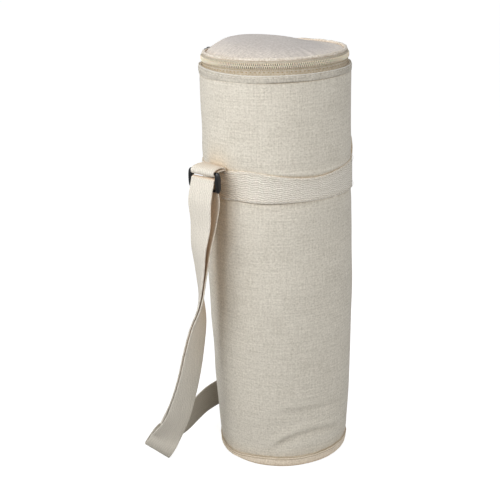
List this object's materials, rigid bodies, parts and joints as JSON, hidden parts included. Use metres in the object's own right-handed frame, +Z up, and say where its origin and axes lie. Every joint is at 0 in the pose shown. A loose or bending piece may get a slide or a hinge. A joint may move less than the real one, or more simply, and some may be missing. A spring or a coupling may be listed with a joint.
{
  "type": "cooler bag",
  "caption": "Round insulated bottle bag with a domed zip-round lid, webbing band, loop with a three-bar slide buckle and a carry strap.",
  "frame": {"origin": "centre of the round base, on the surface it stands on", "axes": "+Z up, +X to the strap's sewn end, -X to the strap's loop and buckle, +Y to the lid's hinge, -Y the front"},
  "size_m": [0.1921, 0.1377, 0.3546],
  "materials": {
    "canvas": "natural ecru cotton canvas, fine plain weave, matt",
    "webbing": "natural cotton webbing, 25 mm, fine herringbone weave",
    "piping": "cotton piping with a double stitch line",
    "zip_tape": "woven polyester zip tape, cream",
    "zip_teeth": "nylon coil, cream, satin",
    "foam": "closed-cell foam insulation, pale grey",
    "lining": "silver-grey coated lining cloth",
    "black_metal": "black lacquered die-cast metal",
    "black_plastic": "black moulded acetal, soft gloss"
  },
  "bodies": {
    "root": {"outer_base": "canvas", "base_piping": "piping", "outer_shell": "canvas", "foam_sleeve": "foam", "foam_base": "foam", "lining_base": "lining", "lining_sleeve": "lining", "rim_hem": "canvas", "rim_facing": "lining", "zip_lower_tape": "zip_tape", "zip_lower_teeth": "zip_teeth", "zip_end_tapes": "zip_tape", "zip_end_teeth": "zip_teeth", "zip_stops": "zip_teeth", "lid_hinge_tab": "canvas", "webbing_band": "webbing", "strap_loop": "webbing", "strap_run": "webbing", "strap_tail": "webbing"},
    "lid": {"lid_panel": "canvas", "lid_piping": "canvas", "lid_foam": "foam", "lid_lining": "lining", "lid_side": "lining", "zip_upper_tape": "zip_tape", "zip_upper_teeth": "zip_teeth"},
    "slider": {"zip_slider": "black_metal", "slider_back_plate": "black_metal"},
    "pull": {"pull_tab": "black_metal"},
    "buckle": {"tri_glide": "black_plastic", "strap_wrap": "webbing"}
  },
  "joints": [
    {"name": "lid_hinge", "type": "hinge", "parent": "root", "child": "lid", "pos_m": [0, 0.0595, 0.3468], "axis": [-1, 0, 0], "range_deg": [0, 135]},
    {"name": "zip_travel", "type": "hinge", "parent": "root", "child": "slider", "pos_m": [0, 0, 0.3404], "axis": [0, 0, 1], "range_deg": [0, 308]},
    {"name": "pull_flip", "type": "hinge", "parent": "slider", "child": "pull", "pos_m": [-0.0272, 0.05576, 0.3404], "axis": [0, 0, 1], "range_deg": [0, 150]},
    {"name": "buckle_swing", "type": "hinge", "parent": "root", "child": "buckle", "pos_m": [-0.0742, 0, 0.2579], "axis": [-0.1564, 0.9877, 0], "range_deg": [-8, 22]}
  ]
}
